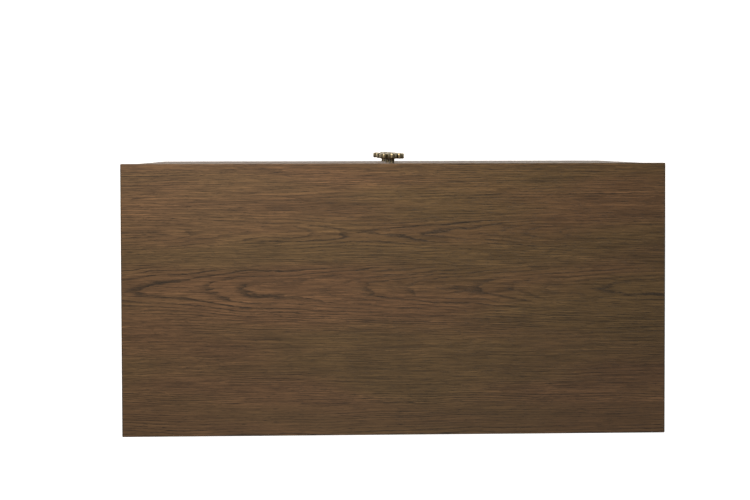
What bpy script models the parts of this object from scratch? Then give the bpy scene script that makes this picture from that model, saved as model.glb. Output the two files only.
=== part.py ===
"""A three-drawer oak chest: plinth, case, overlay drawers on ball-bearing slides, quatrefoil brass knobs.

Run with: blender --background --python part.py
Metres, +Z up. The drawers face -Y. The origin is on the floor, under the middle of the chest and its knobs.
"""

import math

import bmesh
import bpy

# Overall size
TOP_WIDTH = 1.016
TOP_DEPTH = 0.508
HEIGHT = 0.864

# Boards
TOP_THICK = 0.025
SIDE_OVERHANG = 0.016
REAR_OVERHANG = 0.012
PANEL = 0.020
BACK_THICK = 0.006
REVEAL = 0.003
GAP = 0.0003

# Base
GLIDE_HEIGHT = 0.005
GLIDE_RADIUS = 0.009
PLINTH_TOP = 0.070
PLINTH_INSET = 0.012
GLIDE_FROM_END = 0.030

# Rails inside the case
RAIL_DEPTH = 0.060
STRETCHER_DEPTH = 0.080
RABBET_WIDTH = 0.008
RABBET_DEPTH = 0.0075
BACK_SETBACK = 0.001

# Drawers, from the top one down
FRONT_HEIGHTS = {"top": 0.210, "middle": 0.260, "bottom": 0.288}
FRONT_SETBACK = 0.001
FRONT_THICK = 0.020
FRONT_SIDE_GAP = 0.0015
BUMPER_GAP = 0.0015
BOX_WALL = 0.012
BOX_DEPTH = 0.430
BOX_LIFT = 0.024
BOX_DROP = 0.030
BOTTOM_THICK = 0.006
GROOVE_LIFT = 0.010
GROOVE_DEPTH = 0.006

# Dovetails at the corners of the drawer boxes
TAIL_PITCH = 0.042
PIN_WIDTH = 0.007
TAIL_SLOPE = 1 / 7
OVERCUT = 0.001

# Ball-bearing slides: three steel channels nested in each other
SLIDE_SPACE = 0.0127
SLIDE_LENGTH = 0.406
SLIDE_SETBACK = 0.002
SLIDE_SHEET = 0.0012
SLIDE_LIFT = 0.045
# how far each channel's web and flange tips stand off the case side, and half its height
CHANNELS = {
    "cabinet": (0.0003, 0.0098, 0.0229),
    "middle": (0.0030, 0.0112, 0.0195),
    "drawer": (0.0124, 0.0056, 0.0136),
}

# Knobs: four round petals about a raised button, on a turned stem
KNOB_REACH = 0.0209
PETAL_RADIUS = 0.0083
PETAL_OFFSET = 0.0149
PETAL_WAIST = 0.0100
PETAL_THICK = 0.0104
PETAL_EASE = 0.0018
BUTTON_RADIUS = 0.0080
BUTTON_RISE = 0.0018
STEM_RADIUS = 0.0048
STEM_FLARE = 0.0056
KNOB_BORE = 0.0023
KNOB_BORE_DEPTH = 0.0115
SCREW_RADIUS = 0.0020
SCREW_HOLE = 0.0025
SCREW_HEAD_RADIUS = 0.0042
SCREW_HEAD = 0.0026
SCREW_BITE = 0.0095

# Places that follow from those sizes
KNOB_PROUD = KNOB_REACH + GAP - FRONT_SETBACK
FRONT_Y = KNOB_PROUD - (TOP_DEPTH + KNOB_PROUD) / 2
REAR_Y = FRONT_Y + TOP_DEPTH
FACE_Y = FRONT_Y + FRONT_SETBACK
FRONT_BACK_Y = FACE_Y + FRONT_THICK
CASE_FRONT_Y = FRONT_BACK_Y + BUMPER_GAP
CASE_REAR_Y = REAR_Y - REAR_OVERHANG
TOP_UNDERSIDE = HEIGHT - TOP_THICK
CASE_HALF = TOP_WIDTH / 2 - SIDE_OVERHANG
INNER_HALF = CASE_HALF - PANEL
BOX_HALF = INNER_HALF - SLIDE_SPACE
BOX_Y = FRONT_BACK_Y + GAP
RABBET_Y = CASE_REAR_Y - RABBET_DEPTH


def clear_scene():
    for obj in list(bpy.data.objects):
        bpy.data.objects.remove(obj)


def collection(name):
    made = bpy.data.collections.new(name)
    bpy.context.scene.collection.children.link(made)
    return made


def material(name, colour, roughness, metallic=0.0):
    made = bpy.data.materials.new(name)
    made.use_nodes = True
    shader = made.node_tree.nodes["Principled BSDF"]
    shader.inputs["Base Color"].default_value = (*colour, 1.0)
    shader.inputs["Roughness"].default_value = roughness
    shader.inputs["Metallic"].default_value = metallic
    return made


def move_to(obj, target):
    """Puts an object in one collection only."""
    for holder in list(obj.users_collection):
        holder.objects.unlink(obj)
    target.objects.link(obj)
    return obj


def box(name, low, high):
    """A plain block between two corners, with its origin at its centre and its scale applied."""
    bpy.ops.mesh.primitive_cube_add(size=1)
    obj = bpy.context.object
    obj.name = name
    for vertex in obj.data.vertices:
        vertex.co = [c * (b - a) for c, a, b in zip(vertex.co, low, high)]
    obj.location = [(a + b) / 2 for a, b in zip(low, high)]
    return obj


def board(name, low, high, finish, ease=0.0008, steps=1):
    """A board with its edges eased."""
    obj = move_to(box(name, low, high), CHEST)
    obj.data.materials.append(finish)
    bevel = obj.modifiers.new("eased_edges", "BEVEL")
    bevel.width = ease
    bevel.segments = steps
    bevel.limit_method = "ANGLE"
    return obj


def attach(child, parent):
    """Makes one object ride on another, without moving it now."""
    bpy.context.view_layer.update()
    child.parent = parent
    child.matrix_parent_inverse = parent.matrix_world.inverted()


def carriage(name, height, pieces):
    """An empty that carries pieces that slide together. It sits on their sliding axis."""
    empty = bpy.data.objects.new(name, None)
    empty.location = (0, FACE_Y, height)
    CHEST.objects.link(empty)
    for piece in pieces:
        attach(piece, empty)


def cutter(obj):
    obj.hide_render = True
    obj.display_type = "WIRE"
    return move_to(obj, CUTTERS)


def boolean(obj, other, operation="DIFFERENCE"):
    change = obj.modifiers.new(operation.lower(), "BOOLEAN")
    change.operation = operation
    change.solver = "EXACT"
    change.object = other
    attach(other, obj)


def cut_block(obj, low, high):
    boolean(obj, cutter(box(obj.name + "_cut", low, high)))


def cut_hole(obj, centre, radius, depth):
    """A round hole along Y, centred on a point."""
    bpy.ops.mesh.primitive_cylinder_add(vertices=24, radius=radius, depth=depth)
    hole = bpy.context.object
    hole.name = obj.name + "_hole"
    hole.rotation_euler = (math.pi / 2, 0, 0)
    hole.location = centre
    boolean(obj, cutter(hole))


def turned(name, profile, steps, centre):
    """A shape turned about an axis along -Y. The profile is (radius, height) pairs, top to bottom."""
    mesh = bpy.data.meshes.new(name)
    points = [(radius, 0, height) for radius, height in profile]
    mesh.from_pydata(points, [(i, i + 1) for i in range(len(points) - 1)], [])
    obj = bpy.data.objects.new(name, mesh)
    CHEST.objects.link(obj)
    screw = obj.modifiers.new("turned", "SCREW")
    screw.steps = steps
    screw.render_steps = steps
    screw.use_merge_vertices = True
    screw.merge_threshold = 0.00001
    obj.location = centre
    obj.rotation_euler = (math.pi / 2, 0, 0)
    return obj


def outline_curve(name, outlines, half_thick, ease=0.0):
    """Flat closed outlines, thickened both ways from their plane, with their rims rounded by ease."""
    data = bpy.data.curves.new(name, "CURVE")
    data.dimensions = "2D"
    data.fill_mode = "BOTH"
    data.extrude = half_thick - ease
    data.bevel_depth = ease
    data.bevel_resolution = 1
    data.offset = -ease
    for points in outlines:
        spline = data.splines.new("POLY")
        spline.points.add(len(points) - 1)
        for point, (x, y) in zip(spline.points, points):
            point.co = (x, y, 0, 1)
        spline.use_cyclic_u = True
    obj = bpy.data.objects.new(name, data)
    CHEST.objects.link(obj)
    return obj


def as_mesh(curve):
    """The mesh object that a curve object makes, welded closed, in the curve's place."""
    bpy.context.view_layer.update()
    shape = curve.evaluated_get(bpy.context.evaluated_depsgraph_get())
    mesh = bpy.data.meshes.new_from_object(shape)
    welded = bmesh.new()
    welded.from_mesh(mesh)
    bmesh.ops.remove_doubles(welded, verts=welded.verts, dist=0.00001)
    bmesh.ops.recalc_face_normals(welded, faces=welded.faces)
    welded.to_mesh(mesh)
    welded.free()
    obj = bpy.data.objects.new(curve.name + "_mesh", mesh)
    obj.matrix_world = curve.matrix_world
    CHEST.objects.link(obj)
    bpy.data.objects.remove(curve)
    return obj


def quatrefoil():
    """The outline of four round petals that meet a round waist, as points about the origin."""
    # angle at a petal's centre where its arc starts, at the crossing with the waist circle
    along = (PETAL_OFFSET**2 + PETAL_WAIST**2 - PETAL_RADIUS**2) / (2 * PETAL_OFFSET)
    across = math.sqrt(PETAL_WAIST**2 - along**2)
    start = math.atan2(across, along - PETAL_OFFSET)
    waist_start = math.atan2(across, along)
    points = []
    for petal in range(4):
        turn = petal * math.pi / 2
        for step in range(15):
            angle = turn - start + 2 * start * step / 14
            points.append(
                (
                    PETAL_OFFSET * math.cos(turn) + PETAL_RADIUS * math.cos(angle),
                    PETAL_OFFSET * math.sin(turn) + PETAL_RADIUS * math.sin(angle),
                )
            )
        valley = math.pi / 2 - 2 * waist_start
        for step in range(1, 3):
            angle = turn + waist_start + valley * step / 3
            points.append((PETAL_WAIST * math.cos(angle), PETAL_WAIST * math.sin(angle)))
    return points


def make_top():
    board(
        "top_panel",
        (-TOP_WIDTH / 2, FRONT_Y, TOP_UNDERSIDE),
        (TOP_WIDTH / 2, REAR_Y, HEIGHT),
        OAK,
        ease=0.002,
        steps=3,
    )


def make_case():
    """Two sides rabbeted for the back, a bottom, two stretchers under the top, a rail between drawers."""
    low_z, high_z = PLINTH_TOP + GAP, TOP_UNDERSIDE - GAP
    for name, sign in (("left", -1), ("right", 1)):
        xs = sorted((sign * INNER_HALF, sign * CASE_HALF))
        side = board(
            "side_" + name,
            (xs[0], CASE_FRONT_Y, low_z),
            (xs[1], CASE_REAR_Y, high_z),
            OAK,
        )
        rabbet = sorted((sign * (INNER_HALF - 0.01), sign * (INNER_HALF + RABBET_WIDTH)))
        cut_block(
            side,
            (rabbet[0], RABBET_Y, low_z - 0.01),
            (rabbet[1], CASE_REAR_Y + 0.01, high_z + 0.01),
        )

    half = INNER_HALF - GAP
    bottom_top = PLINTH_TOP + PANEL
    rails = {
        "case_bottom": (low_z, bottom_top, CASE_FRONT_Y, RABBET_Y - GAP),
        "stretcher_front": (
            high_z - PANEL,
            high_z,
            CASE_FRONT_Y,
            CASE_FRONT_Y + STRETCHER_DEPTH,
        ),
        "stretcher_back": (
            high_z - PANEL,
            high_z,
            RABBET_Y - GAP - STRETCHER_DEPTH,
            RABBET_Y - GAP,
        ),
    }
    for name, below in (("divider_upper", "top"), ("divider_lower", "middle")):
        middle = front_span(below)[0] - REVEAL / 2
        rails[name] = (
            middle - PANEL / 2,
            middle + PANEL / 2,
            CASE_FRONT_Y,
            CASE_FRONT_Y + RAIL_DEPTH,
        )
    for name, (z0, z1, y0, y1) in rails.items():
        board(name, (-half, y0, z0), (half, y1, z1), OAK)

    back_half = INNER_HALF + RABBET_WIDTH - GAP
    back_y = CASE_REAR_Y - BACK_SETBACK
    board(
        "back_panel",
        (-back_half, back_y - BACK_THICK, low_z),
        (back_half, back_y, high_z),
        PLYWOOD,
        ease=0.0005,
    )


def make_plinth():
    """A recessed frame of four boards, on a nylon glide at each corner."""
    half = CASE_HALF - PLINTH_INSET
    front_y = CASE_FRONT_Y + PLINTH_INSET
    rear_y = CASE_REAR_Y - PLINTH_INSET
    low_z, high_z = GLIDE_HEIGHT + GAP, PLINTH_TOP
    board("plinth_front", (-half, front_y, low_z), (half, front_y + PANEL, high_z), OAK)
    board("plinth_back", (-half, rear_y - PANEL, low_z), (half, rear_y, high_z), OAK)
    for name, sign in (("left", -1), ("right", 1)):
        xs = sorted((sign * (half - PANEL), sign * half))
        board(
            "plinth_" + name,
            (xs[0], front_y + PANEL + GAP, low_z),
            (xs[1], rear_y - PANEL - GAP, high_z),
            OAK,
        )
    for end, y in (("front", front_y + PANEL / 2), ("back", rear_y - PANEL / 2)):
        for side, sign in (("left", -1), ("right", 1)):
            bpy.ops.mesh.primitive_cylinder_add(
                vertices=32, radius=GLIDE_RADIUS, depth=GLIDE_HEIGHT
            )
            glide = move_to(bpy.context.object, CHEST)
            glide.name = f"glide_{end}_{side}"
            glide.location = (sign * (half - GLIDE_FROM_END), y, GLIDE_HEIGHT / 2)
            glide.data.materials.append(NYLON)


def front_span(drawer):
    """(bottom, top) of a drawer's front."""
    top = TOP_UNDERSIDE - REVEAL
    for name, height in FRONT_HEIGHTS.items():
        if name == drawer:
            return top - height, top
        top -= height + REVEAL
    raise KeyError(drawer)


def box_span(drawer):
    """(bottom, top) of a drawer's box."""
    low, high = front_span(drawer)
    return low + BOX_LIFT, high - BOX_DROP


def cut_across(obj, outlines, xs):
    """Cuts outlines given in the plane of depth and height out of a board, between two places along X."""
    curve = outline_curve(obj.name + "_joint", outlines, (xs[1] - xs[0]) / 2)
    curve.rotation_euler = (math.pi / 2, 0, math.pi / 2)
    curve.location = (sum(xs) / 2, 0, 0)
    boolean(obj, cutter(as_mesh(curve)))


def dovetail(wall, mate, end, base, floor, low, high):
    """Joins a side wall's tails to its mate's pins. The tails run from a base line to the box's end."""
    out = math.copysign(1, end - base)
    sign = math.copysign(1, wall.location.x)
    count = max(2, round((high - low) / TAIL_PITCH))
    pitch = (high - low) / count
    root = (pitch - PIN_WIDTH) / 2 - TAIL_SLOPE * BOX_WALL

    def edge(tail, side, along, grow=0.0):
        """A point on a tail's sloping edge, some way out from the base line."""
        middle = low + (tail + 0.5) * pitch
        rise = root + TAIL_SLOPE * along + grow
        return base + out * along, middle + side * rise

    inside, outside = -OVERCUT, BOX_WALL + OVERCUT
    tails = [
        [
            edge(tail, -1, inside, GAP),
            edge(tail, -1, outside, GAP),
            edge(tail, 1, outside, GAP),
            edge(tail, 1, inside, GAP),
        ]
        for tail in range(count)
    ]
    pins = [
        [
            edge(tail, 1, -GAP),
            edge(tail, 1, outside),
            edge(tail + 1, -1, outside),
            edge(tail + 1, -1, -GAP),
        ]
        for tail in range(count - 1)
    ]
    for tail, side, rim in ((0, -1, floor), (count - 1, 1, high + OVERCUT)):
        near, far = edge(tail, side, -GAP), edge(tail, side, outside)
        pins.append([near, far, (far[0], rim), (near[0], rim)])
    inner = BOX_HALF - BOX_WALL
    cut_across(mate, tails, sorted((sign * (inner - GAP), sign * (BOX_HALF + OVERCUT))))
    cut_across(wall, pins, sorted((sign * (inner - OVERCUT), sign * (BOX_HALF + OVERCUT))))


def make_drawer_box(drawer):
    """Four dovetailed walls and a grooved-in bottom, which runs on under the back. Gives the front first."""
    low, high = box_span(drawer)
    rear = BOX_Y + BOX_DEPTH
    groove_low = low + GROOVE_LIFT
    groove_high = groove_low + BOTTOM_THICK + 2 * GAP
    inner = BOX_HALF - BOX_WALL
    front = board(
        f"{drawer}_box_front",
        (-BOX_HALF, BOX_Y, low),
        (BOX_HALF, BOX_Y + BOX_WALL, high),
        MAPLE,
    )
    back = board(
        f"{drawer}_box_back",
        (-BOX_HALF, rear - BOX_WALL, groove_high),
        (BOX_HALF, rear, high),
        MAPLE,
    )
    sides = []
    for name, sign in (("left", -1), ("right", 1)):
        xs = sorted((sign * inner, sign * BOX_HALF))
        side = board(
            f"{drawer}_box_{name}", (xs[0], BOX_Y, low), (xs[1], rear, high), MAPLE
        )
        dovetail(side, front, BOX_Y, BOX_Y + BOX_WALL, low - OVERCUT, low, high)
        dovetail(side, back, rear, rear - BOX_WALL, groove_high - GAP, groove_high, high)
        sides.append(side)
    groove_half = inner + GROOVE_DEPTH
    groove_front = BOX_Y + BOX_WALL - GROOVE_DEPTH
    for wall in (*sides, front):
        cut_block(
            wall,
            (-groove_half, groove_front, groove_low),
            (groove_half, rear + 0.01, groove_high),
        )
    bottom = board(
        f"{drawer}_bottom",
        (-groove_half + GAP, groove_front + GAP, groove_low + GAP),
        (groove_half - GAP, rear, groove_high - GAP),
        PLYWOOD,
        ease=0.0004,
    )
    return [front, back, bottom, *sides]


def make_knob(drawer, centre):
    """A cast quatrefoil on a turned stem, bored for its screw."""
    petal_front = KNOB_REACH - BUTTON_RISE
    petal_back = petal_front - PETAL_THICK
    core = turned(
        f"{drawer}_knob",
        [
            (0, KNOB_REACH),
            (BUTTON_RADIUS * 0.6, KNOB_REACH - BUTTON_RISE * 0.12),
            (BUTTON_RADIUS * 0.9, KNOB_REACH - BUTTON_RISE * 0.45),
            (BUTTON_RADIUS, petal_front - 0.0006),
            (BUTTON_RADIUS, petal_back + 0.002),
            (STEM_RADIUS, petal_back - 0.0012),
            (STEM_RADIUS, 0.0025),
            (STEM_FLARE, 0.0010),
            (STEM_FLARE, 0),
            (0, 0),
        ],
        32,
        centre,
    )
    core.data.materials.append(BRASS)
    petals = outline_curve(
        f"{drawer}_petals", [quatrefoil()], PETAL_THICK / 2, PETAL_EASE
    )
    petals.rotation_euler = (math.pi / 2, 0, 0)
    petals.location = (
        centre[0],
        centre[1] - (petal_front + petal_back) / 2,
        centre[2],
    )
    boolean(core, cutter(as_mesh(petals)), "UNION")
    cut_hole(core, centre, KNOB_BORE, 2 * KNOB_BORE_DEPTH)
    core.data.shade_smooth()
    core.data.set_sharp_from_angle(angle=math.radians(40))
    return core


def make_knob_screw(drawer, x, z):
    """A pan-head machine screw from inside the box, through both fronts, into the knob."""
    head_y = BOX_Y + BOX_WALL + GAP
    reach = head_y - FACE_Y + SCREW_BITE
    screw = turned(
        f"{drawer}_knob_screw",
        [
            (0, reach),
            (SCREW_RADIUS * 0.7, reach),
            (SCREW_RADIUS, reach - 0.0008),
            (SCREW_RADIUS, 0),
            (SCREW_HEAD_RADIUS, 0),
            (SCREW_HEAD_RADIUS, -SCREW_HEAD * 0.55),
            (SCREW_HEAD_RADIUS * 0.7, -SCREW_HEAD),
            (0, -SCREW_HEAD),
        ],
        20,
        (x, head_y, z),
    )
    screw.data.materials.append(ZINC)
    return screw


def make_drawer(drawer):
    low, high = front_span(drawer)
    half = CASE_HALF - FRONT_SIDE_GAP
    face = board(
        f"{drawer}_front",
        (-half, FACE_Y, low),
        (half, FRONT_BACK_Y, high),
        OAK,
        ease=0.0012,
        steps=2,
    )
    box_parts = make_drawer_box(drawer)
    knob_z = (low + high) / 2
    for wall in (face, box_parts[0]):
        cut_hole(wall, (0, FRONT_BACK_Y, knob_z), SCREW_HOLE, 0.08)
    knob = make_knob(drawer, (0, FACE_Y - GAP, knob_z))
    screw = make_knob_screw(drawer, 0, knob_z)
    slides = make_slides(drawer)
    carriage(
        f"{drawer}_drawer", knob_z, [face, knob, screw, *box_parts, *slides["drawer"]]
    )
    carriage(f"{drawer}_runners", knob_z, slides["middle"])


def channel_outline(web, tip, half_height):
    """A C in the plane of depth and height, its web at one depth and its flange tips at another."""
    inward = math.copysign(SLIDE_SHEET, tip - web)
    inner = half_height - SLIDE_SHEET
    return [
        (web, -half_height),
        (tip, -half_height),
        (tip, -inner),
        (web + inward, -inner),
        (web + inward, inner),
        (tip, inner),
        (tip, half_height),
        (web, half_height),
    ]


def make_slides(drawer):
    """A pair of slides of three channels, whose open sides face the drawer. Gives the channels by kind."""
    height = box_span(drawer)[0] + SLIDE_LIFT
    middle_y = CASE_FRONT_Y + SLIDE_SETBACK + SLIDE_LENGTH / 2
    made = {member: [] for member in CHANNELS}
    for side, sign in (("left", -1), ("right", 1)):
        for member, (web, tip, half_height) in CHANNELS.items():
            points = [
                (sign * (INNER_HALF - depth), rise)
                for depth, rise in channel_outline(web, tip, half_height)
            ]
            curve = outline_curve(
                f"{drawer}_slide_{side}_{member}", [points], SLIDE_LENGTH / 2
            )
            curve.data.materials.append(ZINC)
            curve.rotation_euler = (math.pi / 2, 0, 0)
            curve.location = (0, middle_y, height)
            made[member].append(curve)
    return made


clear_scene()
CHEST = collection("chest_of_drawers")
CUTTERS = collection("cutters")
OAK = material("stained_oak", (0.105, 0.062, 0.036), 0.42)
MAPLE = material("drawer_maple", (0.62, 0.47, 0.31), 0.5)
PLYWOOD = material("birch_plywood", (0.55, 0.42, 0.28), 0.6)
BRASS = material("aged_brass", (0.42, 0.33, 0.17), 0.3, 1.0)
ZINC = material("zinc_steel", (0.55, 0.56, 0.58), 0.35, 1.0)
NYLON = material("nylon", (0.05, 0.045, 0.04), 0.5)

make_top()
make_case()
make_plinth()
for drawer_name in FRONT_HEIGHTS:
    make_drawer(drawer_name)
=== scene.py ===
# Looks for a three-drawer chest: stained oak, maple drawer boxes, aged brass knobs, zinc slides.
import math

import bmesh
import bpy
from mathutils import Matrix, Vector


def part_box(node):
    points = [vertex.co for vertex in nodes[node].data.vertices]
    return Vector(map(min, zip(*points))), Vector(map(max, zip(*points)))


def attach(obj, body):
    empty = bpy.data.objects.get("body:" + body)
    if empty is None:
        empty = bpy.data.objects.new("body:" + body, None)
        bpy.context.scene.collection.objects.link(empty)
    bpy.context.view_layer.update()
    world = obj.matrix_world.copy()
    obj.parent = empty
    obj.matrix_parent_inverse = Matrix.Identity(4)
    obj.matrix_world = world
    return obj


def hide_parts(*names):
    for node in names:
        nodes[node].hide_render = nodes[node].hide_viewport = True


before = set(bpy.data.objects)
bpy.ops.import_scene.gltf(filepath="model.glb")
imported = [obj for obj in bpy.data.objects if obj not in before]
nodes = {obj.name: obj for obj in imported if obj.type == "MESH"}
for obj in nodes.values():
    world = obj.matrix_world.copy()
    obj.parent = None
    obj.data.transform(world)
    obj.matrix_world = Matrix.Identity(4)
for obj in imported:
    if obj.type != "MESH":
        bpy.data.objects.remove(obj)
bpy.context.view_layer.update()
drawers = ("top", "middle", "bottom")
sides = {"left": -1, "right": 1}
print("frame loaded:", len(nodes), "nodes")

view = {
    "place": (0.1315, -0.2731, 4.4865),
    "turn": (-2.287, -2.587, 179.883),  # degrees
    "lens": 93.46,  # millimetres, as is the sensor
    "sensor": 36,
    "shift": (-0.049, -0.0326),
    "reach": 50,
}


def addCamera():
    data = bpy.data.cameras.new("viewCamera")
    data.sensor_width = view["sensor"]
    data.lens = view["lens"]
    data.shift_x, data.shift_y = view["shift"]
    data.clip_end = view["reach"]
    camera = bpy.data.objects.new("viewCamera", data)
    camera.location = view["place"]
    camera.rotation_euler = [math.radians(angle) for angle in view["turn"]]
    bpy.context.scene.collection.objects.link(camera)
    bpy.context.scene.camera = camera


studio = {
    "floorSize": 30,
    "floorColour": (0.86, 0.86, 0.86),
    "floorRoughness": 0.9,
    "floorGlow": 0.60,
    "worldGlow": 0.24,
    "lamps": {
        # place, size, watts, colour
        "keyLamp": ((0.48, -0.84, 1.85), 0.6, 23.5, (1.0, 0.88, 0.745)),
        "fillLamp": ((-2.2, -2.6, 1.6), 2.2, 34, (0.97, 0.98, 1.0)),
        "backLamp": ((0.0, 2.8, 1.7), 2.0, 50, (0.84, 0.93, 1.0)),
        "overheadLamp": ((0.0, 1.3, 3.4), 1.2, 6.5, (0.86, 0.94, 1.0)),
    },
    "aim": (0, 0, 0.55),
}


def addStudio():
    scene = bpy.context.scene
    scene.view_settings.view_transform = "Standard"
    world = bpy.data.worlds.new("studioWorld")
    world.use_nodes = True
    world.node_tree.nodes["Background"].inputs["Color"].default_value = (1, 1, 1, 1)
    world.node_tree.nodes["Background"].inputs["Strength"].default_value = studio["worldGlow"]
    scene.world = world

    mesh = bpy.data.meshes.new("floor")
    shape = bmesh.new()
    bmesh.ops.create_grid(shape, x_segments=1, y_segments=1, size=studio["floorSize"] / 2)
    shape.to_mesh(mesh)
    shape.free()
    floor = bpy.data.objects.new("floor", mesh)
    scene.collection.objects.link(floor)
    paint = bpy.data.materials.new("paleFloor")
    paint.use_nodes = True
    shader = paint.node_tree.nodes["Principled BSDF"]
    shader.inputs["Base Color"].default_value = (*studio["floorColour"], 1)
    shader.inputs["Roughness"].default_value = studio["floorRoughness"]
    shader.inputs["Specular IOR Level"].default_value = 0.0
    shader.inputs["Emission Color"].default_value = (1, 1, 1, 1)
    shader.inputs["Emission Strength"].default_value = studio["floorGlow"]
    mesh.materials.append(paint)

    for name, (place, size, watts, colour) in studio["lamps"].items():
        data = bpy.data.lights.new(name, "AREA")
        data.shape = "DISK"
        data.size = size
        data.energy = watts
        data.color = colour
        lamp = bpy.data.objects.new(name, data)
        lamp.location = place
        lamp.visible_camera = False
        aim = Vector(studio["aim"]) - Vector(place)
        lamp.rotation_euler = aim.to_track_quat("-Z", "Y").to_euler()
        scene.collection.objects.link(lamp)


class Wiring:
    # Builds a node tree step by step. A value is a number, a vector or another node's socket.
    def __init__(self, tree):
        self.tree = tree

    def node(self, kind, **settings):
        made = self.tree.nodes.new(kind)
        for name, value in settings.items():
            setattr(made, name, value)
        return made

    def plug(self, socket, value):
        if isinstance(value, bpy.types.NodeSocket):
            self.tree.links.new(value, socket)
        elif value is not None:
            socket.default_value = value

    def math(self, operation, first, second=None, third=None, clamp=False):
        made = self.node("ShaderNodeMath", operation=operation, use_clamp=clamp)
        for socket, value in zip(made.inputs, (first, second, third)):
            self.plug(socket, value)
        return made.outputs[0]

    def split(self, vector):
        made = self.node("ShaderNodeSeparateXYZ")
        self.plug(made.inputs[0], vector)
        return made.outputs

    def join(self, x, y, z):
        made = self.node("ShaderNodeCombineXYZ")
        for socket, value in zip(made.inputs, (x, y, z)):
            self.plug(socket, value)
        return made.outputs[0]

    def times(self, vector, factors):
        made = self.node("ShaderNodeVectorMath", operation="MULTIPLY")
        self.plug(made.inputs[0], vector)
        self.plug(made.inputs[1], factors)
        return made.outputs[0]

    def shift(self, vector, offset):
        made = self.node("ShaderNodeVectorMath", operation="ADD")
        self.plug(made.inputs[0], vector)
        self.plug(made.inputs[1], offset)
        return made.outputs[0]

    def noise(self, vector, scale=1.0, detail=2.0, roughness=0.5):
        made = self.node("ShaderNodeTexNoise")
        self.plug(made.inputs["Vector"], vector)
        self.plug(made.inputs["Scale"], scale)
        self.plug(made.inputs["Detail"], detail)
        self.plug(made.inputs["Roughness"], roughness)
        return made.outputs["Fac"]

    def ease(self, value, low, high, start=0.0, end=1.0):
        made = self.node("ShaderNodeMapRange", interpolation_type="SMOOTHSTEP")
        for socket, number in zip(made.inputs, (value, low, high, start, end)):
            self.plug(socket, number)
        return made.outputs[0]

    def blend(self, amount, first, second, way="MIX"):
        made = self.node("ShaderNodeMix", data_type="RGBA", blend_type=way)
        self.plug(made.inputs["Factor"], amount)
        self.plug(made.inputs[6], first)
        self.plug(made.inputs[7], second)
        return made.outputs[2]

    def darken(self, colour, shade):
        return self.blend(1.0, colour, self.join(shade, shade, shade), "MULTIPLY")

    def bump(self, height, distance, strength=1.0):
        made = self.node("ShaderNodeBump")
        self.plug(made.inputs["Height"], height)
        self.plug(made.inputs["Distance"], distance)
        self.plug(made.inputs["Strength"], strength)
        return made.outputs[0]

    def place(self):
        return self.node("ShaderNodeTexCoord").outputs["Object"]

    def facing(self, axis):
        # 1 where the surface faces along an axis, 0 where it runs along it
        normal = self.node("ShaderNodeTexCoord").outputs["Normal"]
        return self.math("ABSOLUTE", self.split(normal)["XYZ".index(axis)])


def newMaterial(name):
    made = bpy.data.materials.new(name)
    made.use_nodes = True
    return made, Wiring(made.node_tree), made.node_tree.nodes["Principled BSDF"]


# The grain's scales are waves per metre along the board, across its face and into it.
figure = {
    "swayScale": 2.1,
    "dipScale": 4.5,
    "dip": 0.009,  # how far the pith rises and falls
    "apex": 0.0016,  # rounds off the point where the pith comes nearest the face
    "lumpScale": (8, 60, 60),
    "lump": 0.0046,  # how far the rings are from round
    "driftScale": 90.0,
    "drift": 2.2,  # rings gained or lost as their spacing drifts
    "faintest": 0.45,  # strength of the faintest ring
    "ringFall": (0.02, 0.42),  # parts of a ring over which its dark line fades and returns
    "ringRise": (0.92, 1.0),
    "patchScale": (5, 38, 38),
    "patch": (0.30, 0.66, 0.45, 1.2),
    "bendScale": (7, 30, 30),
    "bend": 0.012,  # how far the fibres stray from straight
    "poreScale": (48, 1500, 1500),
    "poreEdge": 0.62,
    "poreCrowding": -0.16,
    "fibreScale": (12, 470, 470),
    "streakScale": (6.5, 125, 125),
    "cloudScale": (1.7, 14, 14),
}


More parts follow.
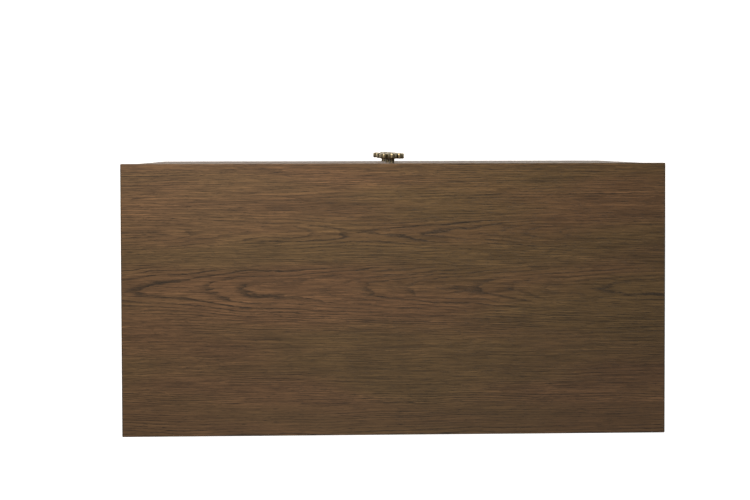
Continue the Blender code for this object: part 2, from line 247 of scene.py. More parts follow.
def makeGrainGroup():
    # Growth rings round a pith that runs nearly along the board, cut by the board's face.
    tree = bpy.data.node_groups.new("woodGrain", "ShaderNodeTree")
    for name, kind in (
        ("Place", "NodeSocketVector"),
        ("Turn", "NodeSocketFloat"),
        ("Core", "NodeSocketFloat"),
        ("Slope", "NodeSocketFloat"),
        ("Wander", "NodeSocketFloat"),
        ("Pitch", "NodeSocketFloat"),
        ("Seed", "NodeSocketFloat"),
    ):
        tree.interface.new_socket(name, in_out="INPUT", socket_type=kind)
    for name in ("Ring", "Pore", "Fibre", "Streak", "Cloud"):
        tree.interface.new_socket(name, in_out="OUTPUT", socket_type="NodeSocketFloat")
    w = Wiring(tree)
    given = w.node("NodeGroupInput").outputs
    along, across, depth = w.split(given["Place"])

    # the pith wanders sideways and dips as it runs along
    swayPlace = w.join(w.math("MULTIPLY", along, figure["swayScale"]), given["Seed"], 3.0)
    sway = w.noise(swayPlace, detail=1.0)
    sway = w.math("MULTIPLY", w.math("SUBTRACT", sway, 0.5), given["Wander"])
    dipPlace = w.join(w.math("MULTIPLY", along, figure["dipScale"]), given["Seed"], 9.0)
    dip = w.math("SUBTRACT", w.noise(dipPlace, detail=2.0), 0.5)
    dip = w.math("MULTIPLY", dip, figure["dip"])
    run = w.math("SUBTRACT", along, given["Turn"])
    run = w.math("SQRT", w.math("MULTIPLY_ADD", run, run, figure["apex"]))
    height = w.math("SUBTRACT", given["Core"], w.math("MULTIPLY", run, given["Slope"]))
    height = w.math("ADD", w.math("ADD", height, depth), dip)
    offset = w.math("ADD", across, sway)
    reach = w.math("MULTIPLY_ADD", offset, offset, w.math("MULTIPLY", height, height))
    reach = w.math("SQRT", reach)

    # the rings are not quite round
    seeded = w.shift(given["Place"], w.join(given["Seed"], given["Seed"], 0.0))
    lumps = w.noise(w.times(seeded, figure["lumpScale"]), detail=4.0, roughness=0.62)
    lumps = w.math("MULTIPLY", w.math("SUBTRACT", lumps, 0.5), figure["lump"])
    reach = w.math("ADD", reach, lumps)
    count = w.math("DIVIDE", reach, given["Pitch"])
    driftPlace = w.join(w.math("MULTIPLY", reach, figure["driftScale"]), given["Seed"], 0.0)
    drift = w.noise(driftPlace, detail=1.0)
    count = w.math("MULTIPLY_ADD", drift, figure["drift"], count)
    part = w.math("FRACT", count)
    whole = w.math("FLOOR", count)
    chance = w.node("ShaderNodeTexWhiteNoise", noise_dimensions="1D")
    w.plug(chance.inputs["W"], w.math("ADD", whole, given["Seed"]))
    faintest = figure["faintest"]
    strength = w.math("MULTIPLY_ADD", chance.outputs["Value"], 1 - faintest, faintest)
    fall = w.ease(part, *figure["ringFall"], 1.0, 0.0)
    rise = w.ease(part, *figure["ringRise"])
    ring = w.math("MULTIPLY", w.math("MAXIMUM", fall, rise), strength)
    patch = w.noise(w.times(seeded, figure["patchScale"]), detail=3.0, roughness=0.6)
    ring = w.math("MULTIPLY", ring, w.ease(patch, *figure["patch"]))

    # fibres and pores are not quite straight
    bend = w.noise(w.times(seeded, figure["bendScale"]), detail=3.0, roughness=0.55)
    bend = w.math("MULTIPLY", w.math("SUBTRACT", bend, 0.5), figure["bend"])
    seeded = w.shift(seeded, w.join(0.0, bend, bend))

    # open pores crowd in each ring's early wood
    dashes = w.noise(w.times(seeded, figure["poreScale"]), detail=2.0, roughness=0.6)
    edge = w.math("MULTIPLY_ADD", ring, figure["poreCrowding"], figure["poreEdge"])
    pore = w.ease(w.math("SUBTRACT", dashes, edge), 0.0, 0.06)
    fibre = w.noise(w.times(seeded, figure["fibreScale"]), detail=4.0, roughness=0.76)
    streak = w.noise(w.times(seeded, figure["streakScale"]), detail=3.0, roughness=0.6)
    cloud = w.noise(w.times(seeded, figure["cloudScale"]), detail=3.0, roughness=0.55)

    result = w.node("NodeGroupOutput").inputs
    for socket, value in zip(result, (ring, pore, fibre, streak, cloud)):
        w.plug(socket, value)
    return tree


grainGroup = makeGrainGroup()

oak = {
    "light": (0.0814, 0.0490, 0.0198),
    "blush": (0.0908, 0.0483, 0.0224),  # where the stain reads redder
    "dark": (0.0265, 0.0155, 0.0069),
    "pore": (0.012, 0.0080, 0.0042),
    "poreDepth": 0.8,
    "pitch": 0.0026,  # of the growth rings
    "ringDepth": 0.77,
    # how strongly each kind of marking shades the wood: gain and base
    "fibre": (3.2, -0.62),
    "streak": (0.80, 0.60),
    "cloud": (0.50, 0.75),
    "endStain": 0.5,  # cut ends take the stain darker
    "roughness": 0.45,
}
maple = {
    "light": (0.60, 0.42, 0.25),
    "blush": (0.61, 0.40, 0.25),
    "dark": (0.42, 0.26, 0.14),
    "pore": (0.33, 0.20, 0.11),
    "poreDepth": 0.35,
    "pitch": 0.0040,
    "ringDepth": 0.45,
    "fibre": (0.55, 0.72),
    "streak": (0.30, 0.85),
    "cloud": (0.40, 0.80),
    "endStain": 0.38,
    "roughness": 0.42,
}
birch = {
    "light": (0.62, 0.46, 0.29),
    "blush": (0.63, 0.44, 0.29),
    "dark": (0.47, 0.32, 0.18),
    "pore": (0.36, 0.24, 0.14),
    "poreDepth": 0.3,
    "pitch": 0.0075,
    "ringDepth": 0.55,
    "fibre": (0.45, 0.78),
    "streak": (0.25, 0.88),
    "cloud": (0.35, 0.83),
    "endStain": 0.0,
    "roughness": 0.55,
    "ply": 0.0012,
    "plyDark": (0.27, 0.165, 0.09),
    "glue": (0.10, 0.055, 0.03),
}


timber = {
    "specular": 0.24,
    "hueScale": (2, 10),  # of the stain's patches, along and across the grain
    "hueEdge": (0.36, 0.64),
    "poreRough": 0.18,
    "cloudRough": 0.08,
    "relief": 0.00012,  # depth of the pores
    "reliefStrength": 0.7,
}


def leafOf(share, shift, turn, core, slope, seed, tone=1.0, wander=0.018, contrast=1.0):
    # One sheet of veneer or one plank. share: of the board's width. shift: of the pith from its
    # middle. turn: where along it the pith comes nearest the face. core: how deep it is there.
    # slope: how fast it falls away. tone: lightness. wander: how far it strays sideways.
    # contrast: of the fibres, streaks and patches of stain.
    return {
        "share": share,
        "shift": shift,
        "turn": turn,
        "core": core,
        "slope": slope,
        "seed": seed,
        "tone": tone,
        "wander": wander,
        "contrast": contrast,
    }


def timberMaterial(name, finish, axes, pith, face, inward, leaf):
    # axes: which of x, y, z runs along the grain, across the face and into the board.
    # pith and face: where the pith lies across the board, and where the board's face is.
    made, w, shader = newMaterial(name)
    parts = w.split(w.place())
    along, across, depth = (parts["XYZ".index(axis)] for axis in axes)
    across = w.math("SUBTRACT", across, pith)
    depth = w.math("MULTIPLY", w.math("SUBTRACT", depth, face), inward)
    grain = w.node("ShaderNodeGroup", node_tree=grainGroup)
    w.plug(grain.inputs["Place"], w.join(along, across, depth))
    for socket in ("Turn", "Core", "Slope", "Wander", "Seed"):
        grain.inputs[socket].default_value = leaf[socket.lower()]
    grain.inputs["Pitch"].default_value = finish["pitch"]
    ring, pore, fibre, streak, cloud = grain.outputs

    light = [part * leaf["tone"] for part in finish["light"]] + [1]
    blush = [part * leaf["tone"] for part in finish["blush"]] + [1]
    lengthways, crossways = timber["hueScale"]
    factors = [lengthways if letter == axes[0] else crossways for letter in "XYZ"]
    hue = w.noise(w.times(w.place(), factors), detail=2.0)
    contrast = leaf["contrast"]
    hue = w.ease(hue, *timber["hueEdge"], 0.5 - contrast / 2, 0.5 + contrast / 2)
    wood = w.blend(hue, light, blush)
    colour = w.blend(w.math("MULTIPLY", ring, finish["ringDepth"]), wood, (*finish["dark"], 1))
    cut = w.ease(w.facing(axes[0]), 0.2, 0.6)
    shade = w.math("MULTIPLY_ADD", cut, -finish["endStain"], 1.0)
    for marking, value in (("fibre", fibre), ("streak", streak), ("cloud", cloud)):
        gain, base = finish[marking]
        step = w.math("MULTIPLY_ADD", value, gain * contrast, 1 - (1 - base) * contrast)
        shade = w.math("MULTIPLY", shade, step)
    colour = w.darken(colour, shade)
    colour = w.blend(w.math("MULTIPLY", pore, finish["poreDepth"]), colour, (*finish["pore"], 1))
    if "ply" in finish:
        # the plies show on the edges, with a thin dark line of glue between them
        layer = w.math("DIVIDE", depth, finish["ply"])
        odd = w.math("GREATER_THAN", w.math("PINGPONG", layer, 1.0), 0.5)
        plies = w.blend(w.math("MULTIPLY", odd, 0.75), light, (*finish["plyDark"], 1))
        seam = w.math("ABSOLUTE", w.math("SUBTRACT", w.math("PINGPONG", layer, 1.0), 0.5))
        plies = w.blend(w.ease(seam, 0.02, 0.10, 0.8, 0.0), plies, (*finish["glue"], 1))
        plies = w.darken(plies, w.math("MULTIPLY_ADD", fibre, 0.8, 0.6))
        onEdge = w.ease(w.facing(axes[2]), 0.4, 0.75, 1.0, 0.0)
        colour = w.blend(onEdge, colour, plies)
    w.plug(shader.inputs["Base Color"], colour)
    rough = w.math("MULTIPLY_ADD", pore, timber["poreRough"], finish["roughness"])
    rough = w.math("MULTIPLY_ADD", cloud, timber["cloudRough"], rough)
    w.plug(shader.inputs["Roughness"], rough)
    level = w.math("MULTIPLY_ADD", pore, -1.0, w.math("MULTIPLY", fibre, 0.3))
    w.plug(shader.inputs["Normal"], w.bump(level, timber["relief"], timber["reliefStrength"]))
    shader.inputs["Specular IOR Level"].default_value = timber["specular"]
    return made


def boardMaterial(node, finish, axes, outward, leaf):
    # The material of a board in one piece, from where the board is
    low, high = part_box(node)
    acrossAxis, depthAxis = "XYZ".index(axes[1]), "XYZ".index(axes[2])
    pith = (low[acrossAxis] + high[acrossAxis]) / 2 + leaf["shift"]
    face = high[depthAxis] if outward > 0 else low[depthAxis]
    return timberMaterial(f"{node}Grain", finish, axes, pith, face, -outward, leaf)


def cadShape(node):
    # The CAD node's own shape, welded, its flat faces whole again
    shape = bmesh.new()
    shape.from_mesh(nodes[node].data)
    bmesh.ops.remove_doubles(shape, verts=shape.verts, dist=0.00001)
    bmesh.ops.dissolve_limit(
        shape, angle_limit=math.radians(0.5), verts=shape.verts, edges=shape.edges
    )
    return shape


def addPiece(name, mesh, body, replaced=(), place=(0, 0, 0)):
    obj = bpy.data.objects.new(name, mesh)
    obj.location = place
    bpy.context.scene.collection.objects.link(obj)
    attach(obj, body)
    if replaced:
        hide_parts(*replaced)
    return obj


def makeVeneered(name, node, body, axes, outward, leaves):
    # The board's face is laid with leaves of veneer side by side
    low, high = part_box(node)
    acrossAxis, depthAxis = "XYZ".index(axes[1]), "XYZ".index(axes[2])
    shape = cadShape(node)
    width = high[acrossAxis] - low[acrossAxis]
    normal = [float(axis == acrossAxis) for axis in range(3)]
    face = high[depthAxis] if outward > 0 else low[depthAxis]
    mesh = bpy.data.meshes.new(name)
    seams = []
    start = low[acrossAxis]
    for number, leaf in enumerate(leaves):
        pith = start + leaf["share"] * width / 2 + leaf["shift"]
        leafName = f"{name}Leaf{number + 1}"
        mesh.materials.append(timberMaterial(leafName, oak, axes, pith, face, -outward, leaf))
        start += leaf["share"] * width
        seams.append(start)
    for seam in seams[:-1]:
        place = [seam * part for part in normal]
        geometry = shape.verts[:] + shape.edges[:] + shape.faces[:]
        bmesh.ops.bisect_plane(shape, geom=geometry, plane_co=place, plane_no=normal)
    for piece in shape.faces:
        middle = piece.calc_center_median()
        piece.material_index = sum(middle[acrossAxis] > seam for seam in seams[:-1])
        piece.smooth = max(abs(part) for part in piece.normal) < 0.999  # only the eased edges
    shape.to_mesh(mesh)
    shape.free()
    addPiece(name, mesh, body, [node])


topLeaves = (
    leafOf(0.130, 0.060, 0.60, 0.062, 0.008, 11.0, 1.03),
    leafOf(0.250, 0.000, 0.05, 0.050, 0.026, 23.0, 0.97),
    leafOf(0.240, -0.020, 0.62, 0.098, 0.0270, 37.0, 0.98),
    leafOf(0.265, 0.105, -0.9, 0.060, 0.006, 47.0, 0.98, 0.055, 0.92),
    leafOf(0.115, 0.050, 0.40, 0.070, 0.008, 59.0, 0.96, contrast=0.62),
)
frontLeaves = {
    "top": (
        leafOf(0.42, 0.050, 0.20, 0.062, 0.014, 71.0),
        leafOf(0.58, -0.010, 0.62, 0.080, 0.027, 83.0, 0.98),
    ),
    "middle": (
        leafOf(0.50, 0.010, -0.58, 0.074, 0.024, 171.0, 0.99),
        leafOf(0.50, 0.062, 0.35, 0.066, 0.012, 183.0, 1.02),
    ),
    "bottom": (
        leafOf(0.30, 0.070, 0.10, 0.060, 0.010, 271.0, 1.01),
        leafOf(0.44, 0.000, 0.12, 0.084, 0.027, 283.0, 0.99),
        leafOf(0.26, -0.060, -0.40, 0.064, 0.012, 295.0),
    ),
}
sideLeaves = {
    "left": (
        leafOf(0.27, 0.060, 0.10, 0.065, 0.014, 101.0),
        leafOf(0.25, 0.000, 0.92, 0.078, 0.030, 113.0, 0.99),
        leafOf(0.25, 0.000, 0.88, 0.082, 0.028, 127.0, 1.01),
        leafOf(0.23, -0.060, 0.20, 0.070, 0.014, 139.0),
    ),
    "right": (
        leafOf(0.23, 0.060, 0.60, 0.070, 0.012, 401.0),
        leafOf(0.27, 0.004, -0.10, 0.080, 0.028, 413.0, 1.01),
        leafOf(0.27, -0.002, -0.14, 0.076, 0.030, 427.0, 0.99),
        leafOf(0.23, -0.050, 0.30, 0.066, 0.014, 439.0),
    ),
}

# Boards that keep their CAD shape: finish, grain axes, the side that shows, how deep the pith is
plainBoards = {
    "case_bottom": (oak, "XYZ", 1, 0.050),
    "stretcher_front": (oak, "XYZ", -1, 0.030),
    "stretcher_back": (oak, "XYZ", -1, 0.026),
    "divider_upper": (oak, "XZY", -1, 0.034),
    "divider_lower": (oak, "XZY", -1, 0.038),
    "plinth_front": (oak, "XZY", -1, 0.045),
    "plinth_back": (oak, "XZY", 1, 0.045),
    "plinth_left": (oak, "YZX", -1, 0.040),
    "plinth_right": (oak, "YZX", 1, 0.042),
    "back_panel": (birch, "XZY", 1, 0.050),
}
for drawer in drawers:
    plainBoards[f"{drawer}_box_left"] = (maple, "YZX", 1, 0.030)
    plainBoards[f"{drawer}_box_right"] = (maple, "YZX", -1, 0.034)
    plainBoards[f"{drawer}_box_front"] = (maple, "XZY", 1, 0.036)
    plainBoards[f"{drawer}_box_back"] = (maple, "XZY", -1, 0.030)
    plainBoards[f"{drawer}_bottom"] = (birch, "XYZ", 1, 0.045)


def finishBoards():
    for number, (node, (finish, axes, outward, core)) in enumerate(plainBoards.items()):
        turn = -0.6 + 0.37 * (number % 4)
        shift = 0.012 * (number % 3 - 1)
        leaf = leafOf(1.0, shift, turn, core, 0.020, 200.0 + 13 * number)
        made = boardMaterial(node, finish, axes, outward, leaf)
        for holder in nodes[node].material_slots:
            holder.material = made


def arc(centre, radius, start, end, steps=6):
    # Points along an arc, angles in degrees from the radius axis
    angles = [math.radians(start + (end - start) * step / steps) for step in range(steps + 1)]
    return [(centre[0] + radius * math.cos(a), centre[1] + radius * math.sin(a)) for a in angles]


def turned(profile, steps):
    # A shape turned about the Y axis. The profile is (radius, height) pairs, its height along -Y.
    shape = bmesh.new()
    points = [shape.verts.new((radius, -height, 0)) for radius, height in profile]
    edges = [shape.edges.new(pair) for pair in zip(points, points[1:])]
    bmesh.ops.spin(
        shape,
        geom=points + edges,
        cent=(0, 0, 0),
        axis=(0, 1, 0),
        angle=math.tau,
        steps=steps,
        use_merge=True,
    )
    bmesh.ops.remove_doubles(shape, verts=shape.verts, dist=0.000001)
    bmesh.ops.recalc_face_normals(shape, faces=shape.faces)
    return shape


def block(low, high):
    shape = bmesh.new()
    bmesh.ops.create_cube(shape, size=1)
    for vertex in shape.verts:
        vertex.co = [(c + 0.5) * (b - a) + a for c, a, b in zip(vertex.co, low, high)]
    return shape


def combine(shape, others, operation):
    # Boolean of one closed shape with others, one after another
    holders = []
    for part in (shape, *others):
        mesh = bpy.data.meshes.new("part")
        part.to_mesh(mesh)
        part.free()
        holder = bpy.data.objects.new("part", mesh)
        bpy.context.scene.collection.objects.link(holder)
        holders.append(holder)
    for other in holders[1:]:
        change = holders[0].modifiers.new("combine", "BOOLEAN")
        change.operation = operation
        change.solver = "EXACT"
        change.object = other
    bpy.context.view_layer.update()
    graph = bpy.context.evaluated_depsgraph_get()
    done = bpy.data.meshes.new_from_object(holders[0].evaluated_get(graph))
    result = bmesh.new()
    result.from_mesh(done)
    bpy.data.meshes.remove(done)
    for holder in holders:
        bpy.data.meshes.remove(holder.data)
    return result


def toMesh(name, shape, made, smoothBelow=40):
    mesh = bpy.data.meshes.new(name)
    shape.to_mesh(mesh)
    shape.free()
    mesh.materials.append(made)
    mesh.shade_smooth()
    mesh.set_sharp_from_angle(angle=math.radians(smoothBelow))
    return mesh


brass = {
    "bright": (0.34, 0.29, 0.18),
    # dark patina, also used as painted shade in the knob's valleys and under its head
    "patinaAndShade": (0.062, 0.052, 0.037),
    "roughness": 0.17,
    "patinaAndShadeRough": 0.28,
    "mottleScale": 420.0,
    "mottleEdge": (0.36, 0.66),
    "castScale": 900.0,
    "castDepth": 0.00006,
}
knob = {
    "petalRadius": 0.0083,
    "petalThick": 0.0104,
    "petalRound": 0.0024,
    "petalDome": 0.0006,
    "waistRadius": 0.0100,
    "waistSunk": 0.0010,
    "waistEdge": 0.0012,
    "buttonRadius": 0.0080,
    "buttonRise": 0.0018,
    "buttonEdge": 0.0014,
    "buttonFillet": 0.0004,
    "buttonCrown": 0.0001,
    "stemRadius": 0.0048,
    "stemFillet": 0.0010,
    "stemFlare": 0.0056,
    "flareFillet": 0.0008,
    "flareHeight": 0.0022,
    "flareFoot": 0.0010,
    "boreRadius": 0.0023,
    "boreDepth": 0.0115,
}


def brassMaterial(petalOffset, headBack):
    # Burnished where hands rub it; dark patina with painted shade in the valleys between the
    # petals and down the stem under the head
    made, w, shader = newMaterial("agedBrassPaintedShade")
    place = w.place()
    x, y, z = w.split(place)
    x, z = w.math("ABSOLUTE", x), w.math("ABSOLUTE", z)
    ahead = w.math("SUBTRACT", w.math("MAXIMUM", x, z), petalOffset)
    aside = w.math("MINIMUM", x, z)
    gap = w.math("SQRT", w.math("MULTIPLY_ADD", ahead, ahead, w.math("MULTIPLY", aside, aside)))
    # painted shade: the valleys between the petals are darkened as patina and as the shade the
    # petals cast on each other
    valleyPatinaAndShade = w.ease(gap, knob["petalRadius"] * 0.96, knob["petalRadius"] * 1.14)
    radius = w.math("SQRT", w.math("MULTIPLY_ADD", x, x, w.math("MULTIPLY", z, z)))
    valleyPatinaAndShade = w.math("MULTIPLY", valleyPatinaAndShade, w.ease(radius, 0.0066, 0.0082))
    # painted shade: darker down the stem under the head, as patina and as the head's shade
    down = w.ease(w.math("MULTIPLY", y, -1.0), headBack - 0.0005, headBack + 0.0012, 0.75, 0.0)
    mottle = w.noise(place, brass["mottleScale"], detail=5.0, roughness=0.65)
    worn = w.ease(mottle, *brass["mottleEdge"], 0.55, 0.0)
    patinaAndShade = w.math("MAXIMUM", w.math("MAXIMUM", valleyPatinaAndShade, down), worn)
    colour = w.blend(patinaAndShade, (*brass["bright"], 1), (*brass["patinaAndShade"], 1))
    w.plug(shader.inputs["Base Color"], colour)
    rough = w.math("MULTIPLY_ADD", patinaAndShade, brass["patinaAndShadeRough"], brass["roughness"])
    scratches = w.noise(w.times(place, (900, 60, 900)), detail=3.0)
    w.plug(shader.inputs["Roughness"], w.math("MULTIPLY_ADD", scratches, 0.10, rough))
    casting = w.noise(place, brass["castScale"], detail=3.0)
    w.plug(shader.inputs["Normal"], w.bump(casting, brass["castDepth"], 0.5))
    shader.inputs["Metallic"].default_value = 1.0
    return made


def makeKnobs():
    # Outlines are (radius, height) pairs, the height measured out from the drawer front
    low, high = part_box("top_knob")
    reach = high.y - low.y
    petalOffset = (high.x - low.x) / 2 - knob["petalRadius"]
    front = reach - knob["buttonRise"]
    back = front - knob["petalThick"]
    rim, waist, button = knob["petalRound"], knob["waistRadius"], knob["buttonRadius"]
    sunk = front - knob["waistSunk"]
    crown, edge, fillet = knob["buttonCrown"], knob["buttonEdge"], knob["buttonFillet"]
    core = [(0, reach), (button * 0.35, reach - crown)]
    core += arc((button - edge, reach - 3 * crown - edge), edge, 90, 0)
    core += arc((button + fillet, sunk + fillet), fillet, 180, 270, 3)
    edge = knob["waistEdge"]
    core += arc((waist - edge, sunk - edge), edge, 90, 0)
    core += arc((waist - rim, back + rim), rim, 0, -90)
    stem, fillet = knob["stemRadius"], knob["stemFillet"]
    core += arc((stem + fillet, back - fillet), fillet, 90, 180, 4)
    fillet = knob["flareFillet"]
    core += arc((stem + fillet, knob["flareHeight"]), fillet, 180, 250, 3)
    core += [(knob["stemFlare"], knob["flareFoot"]), (knob["stemFlare"], 0)]
    bore, deep = knob["boreRadius"], knob["boreDepth"]
    core += [(bore, 0), (bore, deep), (0, deep)]
    radius, dome = knob["petalRadius"], knob["petalDome"]
    petal = [(0, front + dome)]
    petal += [(radius * 0.3, front + dome * 0.85), (radius * 0.55, front + dome * 0.4)]
    petal += arc((radius - rim, front - rim), rim, 90, 0)
    petal += arc((radius - rim, back + rim), rim, 0, -90)
    petal.append((0, back))
    petals = []
    for quarter in range(4):
        shape = turned(petal, 56)
        angle = quarter * math.pi / 2
        offset = (petalOffset * math.cos(angle), 0, petalOffset * math.sin(angle))
        bmesh.ops.translate(shape, verts=shape.verts, vec=offset)
        petals.append(shape)
    head = combine(turned(core, 64), petals, "UNION")
    mesh = toMesh("knob", head, brassMaterial(petalOffset, back), 35)
    for drawer in drawers:
        node = f"{drawer}_knob"
        low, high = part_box(node)
        place = ((low.x + high.x) / 2, high.y, (low.z + high.z) / 2)
        addPiece(f"{drawer}Knob", mesh, f"{drawer}_drawer", [node], place)


zinc = {
    "bright": (0.50, 0.51, 0.53),
    "tint": (0.52, 0.47, 0.38),  # the yellowish cast of passivated plating
    "roughness": 0.20,
    "castScale": 24.0,
    "spangleScale": 260.0,
    "rolledScale": (12, 900),  # along and across the way it was rolled
    "rolledRough": 0.22,
    "rolledDepth": 0.00005,
}


def zincMaterial(name, axis):
    # Plated sheet, rolled along one axis
    made, w, shader = newMaterial(name)
    place = w.place()
    cast = w.ease(w.noise(place, zinc["castScale"], detail=3.0), 0.42, 0.62)
    spangle = w.noise(place, zinc["spangleScale"], detail=2.0)
    colour = w.blend(w.math("MULTIPLY", cast, 0.7), (*zinc["bright"], 1), (*zinc["tint"], 1))
    colour = w.darken(colour, w.math("MULTIPLY_ADD", spangle, 0.35, 0.78))
    w.plug(shader.inputs["Base Color"], colour)
    lengthways, crossways = zinc["rolledScale"]
    factors = [lengthways if letter == axis else crossways for letter in "XYZ"]
    rolled = w.noise(w.times(place, factors), detail=3.0, roughness=0.6)
    rough = w.math("MULTIPLY_ADD", rolled, zinc["rolledRough"], zinc["roughness"])
    w.plug(shader.inputs["Roughness"], w.math("MULTIPLY_ADD", cast, 0.06, rough))
    w.plug(shader.inputs["Normal"], w.bump(rolled, zinc["rolledDepth"], 0.5))
    shader.inputs["Metallic"].default_value = 1.0
    return made


screw = {
    "pan": {"head": 0.0042, "rise": 0.0026, "shank": 0.0020, "recess": 0.0026},
    "small": {"head": 0.0031, "rise": 0.0013, "shank": 0.0014, "recess": 0.0019},
    "smallLength": 0.010,
    "threadPitch": 0.0008,
    "root": 0.8,  # of the thread, as a share of the shank's radius
    "slot": 0.16,  # half width of the cross, as a share of its reach
}


def screwShape(kind, length):
    # A pan-head screw along Y: its head stands on the origin towards +Y, its shank runs to -Y
    size = screw[kind]
    head, rise, shank = size["head"], size["rise"], size["shank"]
    pitch, root = screw["threadPitch"], shank * screw["root"]
    profile = [(0, length), (shank * 0.3, length), (root, length - shank)]
    height = length - shank
    while height > 3 * pitch:
        profile += [(shank, height - pitch * 0.4), (root, height - pitch * 0.9)]
        height -= pitch
    profile += [(root, 0), (head, 0), (head, -rise * 0.35)]
    profile += [(head * share, rise * (0.65 * share**3 - 1)) for share in (0.93, 0.8, 0.5)]
    profile.append((0, -rise))
    body = turned(profile[::-1], 28)
    arm, width, deep = size["recess"], size["recess"] * screw["slot"], rise * 0.75
    crosses = [
        block((-arm, rise - deep, -width), (arm, rise + 0.001, width)),
        block((-width, rise - deep, -arm), (width, rise + 0.001, arm)),
    ]
    return combine(body, crosses, "DIFFERENCE")


def gather(template, places):
    # Copies of one shape, each moved by its own matrix, as one shape
    whole = bmesh.new()
    for place in places:
        mesh = bpy.data.meshes.new("copy")
        single = template.copy()
        bmesh.ops.transform(single, matrix=place, verts=single.verts)
        single.to_mesh(mesh)
        single.free()
        whole.from_mesh(mesh)
        bpy.data.meshes.remove(mesh)
    return whole


def makeKnobScrews(steel):
    for drawer in drawers:
        node = f"{drawer}_knob_screw"
        low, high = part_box(node)
        seat = high.y - screw["pan"]["rise"]
        shape = screwShape("pan", seat - low.y)
        middle = ((low.x + high.x) / 2, seat, (low.z + high.z) / 2)
        bmesh.ops.transform(shape, matrix=Matrix.Translation(middle), verts=shape.verts)
        name = f"{drawer}KnobScrew"
        mesh = toMesh(name, shape, steel)
        addPiece(name, mesh, f"{drawer}_drawer", [node])


slide = {
    "sheet": 0.0012,
    "bend": 0.0024,  # outer radius of the bends
    "lip": 0.0005,  # how far the tips turn in to hold the balls
    "screwAt": (0.035, 0.165, 0.360),  # from the front end
    "slotAt": (0.085, 0.235, 0.300),
    "holeRadius": 0.0024,
    "slotLength": 0.016,
    "slotRadius": 0.0032,
    "cutReach": 0.004,  # of the holes' cutters, to either side of a web
    "cageSheet": 0.0005,
    "cageBend": 0.0015,
    "cageLength": 0.172,
    "cageFromEnd": 0.012,
    "cageClear": 0.0004,  # between the cage and the web beside it
    "cageShort": 0.0009,  # of the channel's tips
    "ballPitch": 0.014,
    "ballGap": 0.0002,
    "ballAside": 0.0008,  # of the cage's middle, towards the tips
}


def channelOutline(web, tip, half, sheet, bend, lip):
    # A rolled C in depth and height: round bends at its web, and tips turned in
    way = math.copysign(1, tip - web)

    def skin(inset):
        points = [(web + way * inset, 0)]
        for depth, rise in arc((0, half - bend), bend - inset, 180, 90):
            points.append((web + way * (bend + depth), rise))
        points.append((tip - way * 2 * lip, half - inset))
        points.append((tip, half - inset - lip))
        return points

    outer, inner = skin(0), skin(sheet)
    upper = outer + inner[::-1]
    lower = [(depth, -rise) for depth, rise in inner[1:] + outer[:0:-1]]
    return upper + lower


def grow(outline, way):
    # A solid from a closed outline of points, pulled along a vector
    shape = bmesh.new()
    start = shape.faces.new([shape.verts.new(point) for point in outline])
    grown = bmesh.ops.extrude_face_region(shape, geom=[start])
    moved = [item for item in grown["geom"] if isinstance(item, bmesh.types.BMVert)]
    bmesh.ops.translate(shape, verts=moved, vec=way)
    bmesh.ops.recalc_face_normals(shape, faces=shape.faces)
    return shape


def extruded(outline, front, rear):
    # An outline in X and Z, run along Y
    return grow([(x, front, z) for x, z in outline], (0, rear - front, 0))


def slotCutter(x, y, z, length, radius):
    # A round or pill-shaped hole through a web, across X
    if length > 2 * radius:
        outline = arc((length / 2 - radius, 0), radius, -90, 90, 10)
        outline += arc((radius - length / 2, 0), radius, 90, 270, 10)
    else:
        outline = arc((0, 0), radius, 0, 340, 17)
    reach = slide["cutReach"]
    outline = [(x - reach, y + along, z + rise) for along, rise in outline]
    return grow(outline, (2 * reach, 0, 0))


def makeSlide(drawer, side, steel, ballSteel, smallScrew):
    sign = sides[side]
    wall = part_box(f"side_{side}")[0 if sign > 0 else 1].x
    channels = {}
    for member, body in (
        ("cabinet", "case"),
        ("middle", f"{drawer}_runners"),
        ("drawer", f"{drawer}_drawer"),
    ):
        node = f"{drawer}_slide_{side}_{member}"
        low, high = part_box(node)
        depths = sorted((sign * (wall - low.x), sign * (wall - high.x)))
        web, tip = depths if member != "drawer" else depths[::-1]
        half = (high.z - low.z) / 2
        level = (high.z + low.z) / 2
        channels[member] = {"web": web, "tip": tip, "half": half}
        outline = channelOutline(web, tip, half, slide["sheet"], slide["bend"], slide["lip"])
        outline = [(wall - sign * depth, level + rise) for depth, rise in outline]
        shape = extruded(outline, low.y, high.y)
        webX = wall - sign * web
        places, length, radius = slide["screwAt"], 0, slide["holeRadius"]
        if member == "middle":
            places, length, radius = slide["slotAt"], slide["slotLength"], slide["slotRadius"]
        cuts = [slotCutter(webX, low.y + at, level, length, radius) for at in places]
        name = f"{drawer}Slide{side.title()}{member.title()}"
        mesh = toMesh(name, combine(shape, cuts, "DIFFERENCE"), steel)
        addPiece(name, mesh, body, [node])

    front, rear = low.y, high.y
    makeBalls(drawer, side, wall, level, channels, front, rear, ballSteel)
    # screws through the drawer channel into the box
    seat = wall - sign * (channels["drawer"]["web"] - slide["sheet"])
    turn = Matrix.Rotation(-sign * math.pi / 2, 4, "Z")
    places = [Matrix.Translation((seat, front + at, level)) @ turn for at in slide["screwAt"]]
    name = f"{drawer}SlideScrews{side.title()}"
    mesh = toMesh(name, gather(smallScrew, places), steel)
    addPiece(name, mesh, f"{drawer}_drawer")


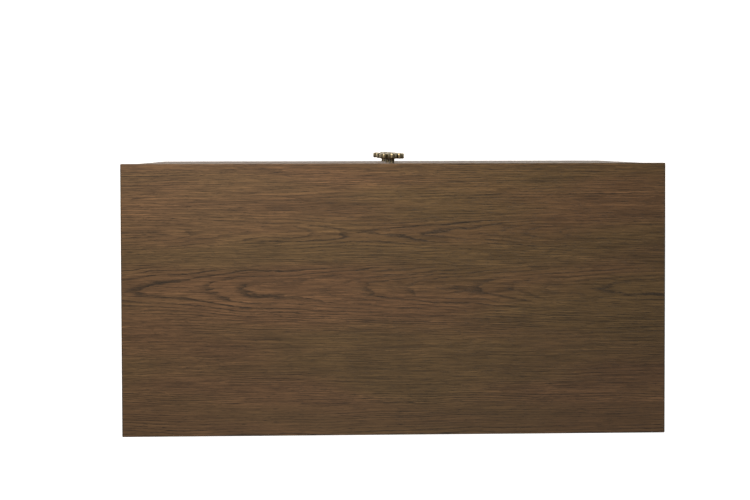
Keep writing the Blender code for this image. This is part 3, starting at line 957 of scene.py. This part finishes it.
def makeBalls(drawer, side, wall, level, channels, front, rear, steel):
    # Two nested cages of balls: between the cabinet and middle channels, and middle and drawer
    sign = sides[side]
    sheet, cage, length = slide["sheet"], slide["cageSheet"], slide["cageLength"]
    for outer, inner, start in (
        ("cabinet", "middle", rear - slide["cageFromEnd"] - length),
        ("middle", "drawer", front + slide["cageFromEnd"]),
    ):
        outerHalf = channels[outer]["half"] - sheet
        innerHalf = channels[inner]["half"]
        rise = (outerHalf + innerHalf) / 2
        radius = (outerHalf - innerHalf) / 2 - slide["ballGap"]
        web = channels[outer]["web"] + sheet + slide["cageClear"]
        tip = channels[outer]["tip"] - slide["cageShort"]
        middle = (web + tip) / 2 + slide["ballAside"]
        outline = channelOutline(web, tip, rise + cage / 2, cage, slide["cageBend"], 0.0)
        outline = [(wall - sign * depth, level + height) for depth, height in outline]
        shape = extruded(outline, start, start + length)
        ball = bmesh.new()
        bmesh.ops.create_uvsphere(ball, u_segments=12, v_segments=8, radius=radius)
        count = int(length / slide["ballPitch"])
        places = []
        for number in range(count):
            y = start + (number + 0.5) * length / count
            for way in (1, -1):
                spot = (wall - sign * middle, y, level + way * rise)
                places.append(Matrix.Translation(spot))
        balls = gather(ball, places)
        ball.free()
        kind = "Outer" if outer == "cabinet" else "Inner"
        for label, part in (("Cage", shape), ("Balls", balls)):
            name = f"{drawer}{kind}{label}{side.title()}"
            mesh = toMesh(name, part, steel)
            addPiece(name, mesh, f"{drawer}_runners")


backScrews = {
    "fromEdge": 0.0045,
    "fromTop": 0.010,  # the top and bottom rows
    "fromCorner": 0.030,
    "across": 6,
    "down": 5,
}


def makeBackScrews(steel, smallScrew):
    low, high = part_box("back_panel")
    inset, corner, row = backScrews["fromEdge"], backScrews["fromCorner"], backScrews["fromTop"]
    across, down = backScrews["across"], backScrews["down"]
    spots = []
    for step in range(down):
        z = low.z + corner + (high.z - low.z - 2 * corner) * step / (down - 1)
        spots += [(low.x + inset, z), (high.x - inset, z)]
    for step in range(1, across):
        x = low.x + (high.x - low.x) * step / across
        spots += [(x, low.z + row), (x, high.z - row)]
    places = [Matrix.Translation((x, high.y, z)) for x, z in spots]
    mesh = toMesh("backScrews", gather(smallScrew, places), steel)
    addPiece("backScrews", mesh, "case")


glide = {
    "colour": (0.050, 0.043, 0.037),
    "roughness": 0.42,
    "rounding": 0.0016,
    "topRounding": 0.0006,
}


def plasticMaterial(name, colour, roughness):
    made, w, shader = newMaterial(name)
    place = w.place()
    mottle = w.noise(place, 300.0, detail=4.0)
    shade = w.math("MULTIPLY_ADD", mottle, 0.5, 0.75)
    w.plug(shader.inputs["Base Color"], w.darken((*colour, 1), shade))
    w.plug(shader.inputs["Roughness"], w.math("MULTIPLY_ADD", mottle, 0.16, roughness - 0.08))
    grain = w.noise(place, 2600.0, detail=2.0)
    w.plug(shader.inputs["Normal"], w.bump(grain, 0.00004, 0.5))
    return made


def makeGlides():
    made = plasticMaterial("glideNylon", glide["colour"], glide["roughness"])
    for end in ("front", "back"):
        for side in sides:
            node = f"glide_{end}_{side}"
            low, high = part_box(node)
            radius, height = (high.x - low.x) / 2, high.z - low.z
            rim, edge = glide["rounding"], glide["topRounding"]
            profile = [(0, height), (radius - edge, height), (radius, height - edge)]
            profile += arc((radius - rim, rim), rim, 0, -90, 5)
            profile.append((0, 0))
            shape = turned(profile, 36)
            place = Matrix.Translation(((low.x + high.x) / 2, (low.y + high.y) / 2, low.z))
            upright = Matrix.Rotation(-math.pi / 2, 4, "X")
            bmesh.ops.transform(shape, matrix=place @ upright, verts=shape.verts)
            name = f"glide{end.title()}{side.title()}"
            addPiece(name, toMesh(name, shape, made), "case", [node])


bumper = {
    "radius": 0.0040,
    "thick": 0.0012,
    "fromEnd": 0.0088,
    "fromCorner": 0.011,
    "colour": (0.42, 0.41, 0.38),
    "roughness": 0.35,
}


def makeBumpers():
    # Soft dots behind each drawer front, where it meets the case sides
    made = plasticMaterial("bumperUrethane", bumper["colour"], bumper["roughness"])
    radius, thick = bumper["radius"], bumper["thick"]
    profile = [(0, 0), (radius, 0), (radius, thick * 0.3)]
    profile += [(radius * 0.9, thick * 0.75), (radius * 0.65, thick * 0.95), (0, thick)]
    dot = turned(profile[::-1], 28)
    turn = Matrix.Rotation(math.pi, 3, "Z")
    bmesh.ops.rotate(dot, verts=dot.verts, cent=(0, 0, 0), matrix=turn)
    inset, end = bumper["fromCorner"], bumper["fromEnd"]
    for drawer in drawers:
        low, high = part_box(f"{drawer}_front")
        places = [
            Matrix.Translation((x, high.y, z))
            for x in (low.x + end, high.x - end)
            for z in (low.z + inset, high.z - inset)
        ]
        name = f"{drawer}Bumpers"
        addPiece(name, toMesh(name, gather(dot, places), made), f"{drawer}_drawer")
    dot.free()


addCamera()
addStudio()
print("camera, floor and lamps are set")

makeVeneered("topPanel", "top_panel", "case", "XYZ", 1, topLeaves)
for drawer in drawers:
    leaves = frontLeaves[drawer]
    makeVeneered(f"{drawer}Front", f"{drawer}_front", f"{drawer}_drawer", "XZY", -1, leaves)
for side, outward in sides.items():
    makeVeneered(f"side{side.title()}", f"side_{side}", "case", "ZYX", outward, sideLeaves[side])
finishBoards()
print("oak, maple and birch are finished")

makeKnobs()
channelSteel = zincMaterial("rolledZinc", "Y")
screwSteel = zincMaterial("screwZinc", "X")
makeKnobScrews(screwSteel)
print("knobs are on")

smallScrew = screwShape("small", screw["smallLength"])
for drawer in drawers:
    for side in sides:
        makeSlide(drawer, side, channelSteel, screwSteel, smallScrew)
makeBackScrews(screwSteel, smallScrew)
smallScrew.free()
print("slides, balls and screws are in")

makeGlides()
makeBumpers()
print("glides and bumpers are on")
